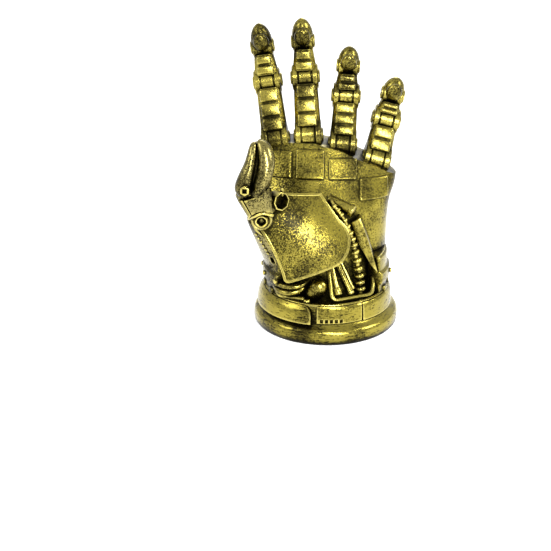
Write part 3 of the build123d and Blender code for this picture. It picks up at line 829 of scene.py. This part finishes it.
# The hose's rings from above: x, y, rise and radius
RINGS = [
    (3.4, -16.0, 51.2, 1.4), (5.1, -16.2, 49.3, 1.45), (6.7, -16.4, 47.1, 1.5), (8.4, -16.5, 44.5, 1.55),
    (9.8, -16.5, 41.3, 1.6), (11.2, -16.5, 38.0, 1.65), (12.3, -16.5, 35.0, 1.75), (13.1, -16.8, 32.2, 1.9),
    (13.7, -17.3, 28.8, 2.1), (14.7, -17.5, 24.6, 2.2), (15.4, -17.5, 20.5, 2.3), (16.0, -17.5, 16.9, 2.4),
    (16.3, -17.5, 13.5, 2.45), (16.6, -17.5, 10.1, 2.4),
]


def hose():
    """A ribbed hose that comes down beside the cover plate and ends in the well."""
    line = [spot(x, y, rise) for x, y, rise, radius in RINGS]
    ends = line[1:] + [2 * line[-1] - line[-2]]
    piece = tube("hose", [spot(1.0, -8.0, 54.0)] + line + [spot(17.0, -17.5, -0.8)], 0.9, sides=4)
    for (x, y, rise, radius), place, end in zip(RINGS, line, ends):
        ring = ball("ring", (radius + 0.1, radius + 0.1, 0.35 + 0.5 * radius), segments=28, rings=14)
        unite(piece, move(ring, facing(place, end - place, up=(0, 1, 0))))
    return piece


def rounded_path(points, bend, count=6):
    """The points' polyline with its corners rounded by quadratic arcs."""
    run = [points[0]]
    for before, corner, after in zip(points, points[1:], points[2:]):
        start = corner + (before - corner).normalized() * bend
        end = corner + (after - corner).normalized() * bend
        for step in range(count + 1):
            t = step / count
            run.append(start * (1 - t) ** 2 + corner * 2 * t * (1 - t) + end * t * t)
    return run + [points[-1]]


def bent_tube(name, places, radius, bend):
    """A round tube along straight runs, with bends between them."""
    points = rounded_path([spot(*place) for place in places], bend)
    return tube(name, points, radius, smooth=False, resolution=1)


def piston(start, end, rod, collar, collar_length):
    """A round bar with a thicker collar at its lower end."""
    start, end = spot(*start), spot(*end)
    run = (end - start).normalized()
    foot = bar("collar", end - run * collar_length, end, collar, rounding=0.35)
    return unite(bar("piston", start, end, rod), foot)


def pod():
    """A tilted egg with a raised cap over its upper half."""
    dome = ball("pod", (4.3, 3.4, 6.4), segments=40, rings=20)
    cap = ball("cap", (4.4, 3.6, 4.6), centre=(0.2, -0.6, 2.4), segments=40, rings=20)
    floor = block("floor", (12, 12, 8))
    carve(cap, move(floor, Matrix.Translation((0, 0, -7.4)) @ Matrix.Rotation(radians(-16), 4, "Y")))
    unite(dome, soften(cap, 0.4))
    return move(dome, Matrix.Translation(spot(-4.9, -20.0, 9.2)) @ Matrix.Rotation(radians(32), 4, "Y"))


# Outline of the blade, as x and rise
BLADE = [(11.7, 42.9), (15.9, 45.2), (20.0, 34.0), (25.0, 16.9), (21.3, 21.2), (15.0, 32.5)]


def blade():
    """A flat pointed plate at the right of the hose."""
    piece = prism("blade", [(x, WELL + rise) for x, rise in BLADE], 13)
    soften(piece, 0.45, segments=2)
    return move(piece, Matrix.Translation((0, -2.5, 0)) @ Matrix.Rotation(pi / 2, 4, "X"))


LOOP = [(0.6, -13.5, 25.5), (3.4, -25.2, 6.4), (21.9, -17.6, 6.9), (22.9, -12.5, 12.6), (20.4, -7.0, 19.5)]

# The cables' radii and routes, along the left of the well
CABLES = [
    (1.35, [(-25.6, -7.0, 12.8), (-24.4, -14.0, 12.7), (-22.2, -19.6, 12.1), (-18.1, -22.0, 11.9),
            (-13.8, -22.2, 12.3), (-10.6, -20.6, 12.6), (-8.0, -15.0, 12.9)]),
    (1.45, [(-25.6, -7.0, 9.6), (-24.4, -14.4, 9.3), (-22.6, -20.0, 9.3), (-18.6, -23.0, 9.2),
            (-14.3, -22.8, 9.8), (-11.0, -21.0, 10.8), (-8.6, -16.0, 11.6)]),
    (1.0, [(-25.4, -9.0, 7.9), (-23.4, -18.0, 7.2), (-20.4, -21.4, 6.5), (-16.0, -20.0, 6.3)]),
]


def make_works():
    """All that shows in the opening, and the hose, barrel and blade above it, in one piece."""
    loop = bent_tube("works", LOOP, 1.2, 2.8)
    cables = [tube("cable", [spot(*place) for place in route], radius) for radius, route in CABLES]
    parts = [
        hose(), blade(), pod(), *cables,
        bar("short_bar", spot(-18.6, -21.0, 6.3), spot(-10.4, -24.0, 6.8), 1.1),
        ball("knob", (1.7, 1.4, 1.4), centre=spot(-9.0, -25.0, 5.9), segments=24, rings=12),
        bar("stem", spot(-9.0, -25.0, 6.0), spot(-7.0, -20.0, -0.8), 0.9),
        piston((1.2, -15.3, 26.2), (6.3, -24.3, 9.4), 1.0, 1.7, 3.4),
        piston((2.1, -14.4, 28.8), (12.3, -20.6, 8.4), 1.45, 1.7, 1.6),
        piston((4.2, -13.6, 28.7), (13.2, -18.6, 10.1), 0.85, 1.1, 2.0),
        bar("barrel", spot(1.0, -9.0, 52.0), spot(12.3, -14.5, 48.4), 2.6, rounding=0.5, sides=32),
        bar("cap", spot(10.9, -13.8, 48.85), spot(12.9, -14.8, 48.2), 3.0, rounding=0.5, sides=32),
    ]
    return unite(loop, *parts)


# Antique gold paint

class Value:
    """One output socket of a material, which expressions combine through Math nodes."""

    def __init__(self, tree, socket=None):
        self.tree, self.socket = tree, socket

    def node(self, kind, settings, inputs, output=0):
        """A node of any type: first its settings, then numbers or links for its inputs."""
        made = self.tree.nodes.new(kind)
        for name, value in settings.items():
            setattr(made, name, value)
        for name, value in inputs.items():
            if isinstance(value, Value):
                self.tree.links.new(value.socket, made.inputs[name])
            else:
                made.inputs[name].default_value = value
        return Value(self.tree, made.outputs[output])

    def maths(self, operation, *others, clamp=False):
        inputs = {place: other for place, other in enumerate((self, *others))}
        return self.node("ShaderNodeMath", {"operation": operation, "use_clamp": clamp}, inputs)

    def __add__(self, other):
        return self.maths("ADD", other)

    __radd__ = __add__

    def __mul__(self, other):
        return self.maths("MULTIPLY", other)

    __rmul__ = __mul__

    def __sub__(self, other):
        return self.maths("SUBTRACT", other)

    def __rsub__(self, other):
        return (self * -1) + other

    def clamped(self):
        return self.maths("ADD", 0.0, clamp=True)

    def steps(self, low, high):
        """0 below low, 1 above high, and a smooth rise between."""
        settings = {"interpolation_type": "SMOOTHSTEP", "data_type": "FLOAT"}
        return self.node("ShaderNodeMapRange", settings, {"Value": self, "From Min": low, "From Max": high})

    def mix(self, low, high):
        """The colour low where this value is 0 and high where it is 1."""
        settings = {"data_type": "RGBA", "clamp_factor": True}
        return self.node("ShaderNodeMix", settings, {0: self, 6: low, 7: high}, output=2)


GOLD = (0.285, 0.235, 0.035, 1)
# A lighter copy of the gold for the works and the fingers; on the works it stands in for the brighter light
# they catch
BRIGHT_GOLD = (0.340, 0.282, 0.050, 1)
# Pale gold on the convex edges: dry-brushing, and a painted highlight
PALE_GOLD = (0.66, 0.56, 0.14, 1)
OLIVE_GOLD = (0.060, 0.048, 0.007, 1)
SILVERY_GOLD = (0.270, 0.228, 0.070, 1)
# Near-black: the undercoat in the fine specks, and painted shade in the hollows and gaps
UNDERCOAT_AND_SHADE = (0.007, 0.006, 0.002, 1)


def antique_gold(name, gilding=GOLD, streaked=False, left_darkening=0.0, raised=0.0):
    """Dry-brushed gold over a dark undercoat, which shows in fine specks. The dark in the hollows and gaps
    is both that undercoat and painted shade, and the pale gold on the edges is both dry-brushing and a
    painted highlight.

    The left darkening takes gold off the left side, left of x = -4 mm, so that side comes out darker,
    and raised is how much gold the high spots in the hollows get: partly dry-brushing, partly a painted
    highlight.
    """
    material = bpy.data.materials.new(name)
    material.use_nodes = True
    tree = material.node_tree
    surface = tree.nodes["Principled BSDF"]
    start = Value(tree)
    place = start.node("ShaderNodeTexCoord", {}, {}, output="Object")

    def noise(scale, detail, roughness=0.55):
        inputs = {"Vector": place, "Scale": scale, "Detail": detail, "Roughness": roughness}
        return start.node("ShaderNodeTexNoise", {}, inputs, output="Fac")

    def shade(distance, inside=False):
        settings = {"samples": 8, "inside": inside, "only_local": inside}
        return start.node("ShaderNodeAmbientOcclusion", settings, {"Distance": distance}, output="AO")

    # Ambient occlusion at three reaches finds the hollows, creases and gaps; what darkens them is partly
    # the dark wash of the paint and partly painted shade
    open_sky, hollow, crease = shade(0.012), shade(0.004), shade(0.0012)
    # Convex edges, found by ambient occlusion from inside: their pale and extra gold is partly dry-brushing
    # and partly a painted highlight
    rubbed_and_highlit = (1 - shade(0.0020, inside=True)).steps(0.24, 0.54)
    cloud, patch = noise(55.0, 1.0), noise(240.0, 2.0, 0.6)
    grain, speck = noise(1250.0, 2.0, 0.7), noise(3000.0, 2.0, 0.7)
    shelter = open_sky.steps(0.22, 0.74) * hollow.steps(0.35, 0.88) * crease.steps(0.52, 0.90)
    fine = grain * 0.5 + speck * 0.5
    brushed = fine
    if streaked:
        brushed = fine * 0.45 + (streaks(place, start) * 1.2 - 0.1) * 0.55
    thin = cloud * 0.75 + patch * 0.25
    across = start.node("ShaderNodeSeparateXYZ", {}, {"Vector": place}, output="X")
    # Takes gold off in the hollows, as part of the painted shade there, and off the left side, which comes
    # out darker
    less_gold_in_hollows_and_left = (1 - shelter) * 0.12 + (across * -1).steps(0.004, 0.024) * left_darkening
    cover = (brushed + (thin - 0.5) * 0.30 - less_gold_in_hollows_and_left + rubbed_and_highlit * 0.12).steps(0.40, 0.495)
    tone = (thin * 0.75 + grain * 0.25).steps(0.36, 0.58).mix(OLIVE_GOLD, gilding)
    # Specks of undercoat, with less gold in the hollows as painted shade
    specked_and_shaded = (0.06 + cover * 0.94).mix(UNDERCOAT_AND_SHADE, tone)
    # Pale gold along the edges: dry-brushed gold and a painted highlight
    edged = (rubbed_and_highlit * (0.35 + grain * 0.7)).clamped().mix(specked_and_shaded, PALE_GOLD)
    # Lifts the painted shade in the hollows on random grains, and on the high spots by raised, which paints
    # highlights there as well as dry-brushed gold
    brush_reach_and_light = shelter + (1 - shelter) * ((grain - 0.5) * 0.6 + rubbed_and_highlit * raised)
    # Darkens the hollows and gaps towards near-black: the paint's dark wash and painted shade together
    wash_and_painted_shade = brush_reach_and_light.clamped().mix(UNDERCOAT_AND_SHADE, edged)
    gilt = (shelter * (0.45 + cover * 0.55)).clamped()
    relief = start.node("ShaderNodeBump", {}, {"Strength": 0.2, "Distance": 0.0004, "Height": fine})
    roughness = 0.44 - gilt * 0.24 + (grain - 0.5) * 0.06
    tree.links.new(wash_and_painted_shade.socket, surface.inputs["Base Color"])
    tree.links.new((gilt * 0.12).socket, surface.inputs["Coat Weight"])
    tree.links.new(roughness.socket, surface.inputs["Roughness"])
    tree.links.new(relief.socket, surface.inputs["Normal"])
    surface.inputs["Metallic"].default_value = 1.0
    surface.inputs["Coat Roughness"].default_value = 0.25
    return material


def streaks(place, start):
    """Noise drawn out round the plinth's axis."""
    apart = {"Vector": place}
    x, y, z = (start.node("ShaderNodeSeparateXYZ", {}, apart, output=axis) for axis in range(3))
    turn = y.maths("ARCTAN2", x)
    radius = (x * x + y * y).maths("SQRT")
    round_place = start.node("ShaderNodeCombineXYZ", {}, {"X": turn * 0.009, "Y": radius, "Z": z})
    inputs = {"Vector": round_place, "Scale": 1400.0, "Detail": 3.0, "Roughness": 0.6}
    return start.node("ShaderNodeTexNoise", {}, inputs, output="Fac")


# Floor, light and camera

CAMERA_PLACE = (0.0, -0.80025, 0.36153)
CAMERA_PITCH = 23.0001
CAMERA_YAW = 1.76889
CAMERA_LENS = 116.053
CAMERA_SENSOR = 36.0
FLOOR_GLOW = (0.55, 0.55, 0.55, 1)


def seen_rays(tree):
    """1 for the rays of the camera and for those that metal mirrors or glass lets through."""
    start = Value(tree)
    camera, mirrored, passed = (
        start.node("ShaderNodeLightPath", {}, {}, output=kind)
        for kind in ("Is Camera Ray", "Is Glossy Ray", "Is Transmission Ray")
    )
    return (camera + mirrored + passed).clamped()


def plain_floor():
    """A pale floor that glows only for the rays that show it."""
    deselect()
    bpy.ops.mesh.primitive_plane_add(size=12, location=(0, 0, 0))
    floor = named("floor")
    paint = bpy.data.materials.new("pale_floor")
    paint.use_nodes = True
    surface = paint.node_tree.nodes["Principled BSDF"]
    surface.inputs["Base Color"].default_value = (0.93, 0.93, 0.93, 1)
    surface.inputs["Roughness"].default_value = 0.9
    surface.inputs["Emission Strength"].default_value = 1.0
    glow = seen_rays(paint.node_tree).mix((0, 0, 0, 1), FLOOR_GLOW)
    paint.node_tree.links.new(glow.socket, surface.inputs["Emission Color"])
    floor.data.materials.append(paint)


def lamp(name, place, target, size, watts, height=None, along=(1, 0, 0)):
    """A soft box that faces the target; along is the direction of its length."""
    away = (Vector(place) - Vector(target)).normalized()
    deselect()
    bpy.ops.object.light_add(type="AREA", location=place)
    light = bpy.context.object
    light.name = name
    light.data.shape = "RECTANGLE"
    light.data.size = size
    light.data.size_y = height or size
    light.data.energy = watts
    light.matrix_world = facing(place, away, up=away.cross(Vector(along)))


def white_world():
    """White where it is seen, and dim as a light."""
    world = bpy.data.worlds.new("studio")
    bpy.context.scene.world = world
    world.use_nodes = True
    tree = world.node_tree
    shine = tree.nodes["Background"]
    shine.inputs["Color"].default_value = (1, 1, 1, 1)
    tree.links.new((seen_rays(tree) * 0.6 + 0.4).socket, shine.inputs["Strength"])


def camera():
    """The photograph's angle, from an ellipse fit to the plinth."""
    deselect()
    bpy.ops.object.camera_add(location=CAMERA_PLACE)
    view = bpy.context.object
    view.rotation_euler = (radians(90 - CAMERA_PITCH), 0, radians(CAMERA_YAW))
    view.data.lens = CAMERA_LENS
    view.data.sensor_width = CAMERA_SENSOR
    bpy.context.scene.camera = view


def studio():
    """Floor, world, four soft boxes and the camera."""
    plain_floor()
    white_world()
    key_place, key_target, key_slant = (0.215, -0.88, 0.43), (-0.01, -0.03, 0.055), (0.62, -0.1, -0.72)
    lamp("key", key_place, key_target, 0.62, 10.5, height=0.16, along=key_slant)
    lamp("left", (-0.75, -0.35, 0.60), (0, 0, 0.07), 0.45, 3.0)
    lamp("right", (0.75, -0.15, 0.55), (0, 0, 0.07), 0.30, 5.0)
    lamp("back", (0.1, 0.8, 0.6), (0, 0, 0.08), 0.5, 4.0)
    camera()
    bpy.context.scene.view_settings.view_transform = "Standard"


def finish_piece(piece, material):
    """Brings a finished piece to metres, paints it and hands it to the frame."""
    move(piece, Matrix.Scale(METRE, 4))
    pick(piece)
    bpy.ops.object.shade_smooth_by_angle(angle=radians(32))
    piece.data.materials.clear()
    piece.data.materials.append(material)
    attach(piece, "root")
    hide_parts(NODE)


finish_piece(make_plinth(), antique_gold("streaked_gold", streaked=True))
finish_piece(make_thumb(), antique_gold("silvery_gold", gilding=SILVERY_GOLD, left_darkening=0.05))
gold = antique_gold("antique_gold", left_darkening=0.10)
for piece in (make_wrist(), make_palm(), cover_plate()):
    finish_piece(piece, gold)
# Lighter gold with painted highlights on the high spots in the hollows, for the works and the fingers
bright_gold = antique_gold("bright_gold", gilding=BRIGHT_GOLD, raised=0.5)
finish_piece(make_works(), bright_gold)
for index in range(4):
    finish_piece(make_finger(index), bright_gold)
studio()
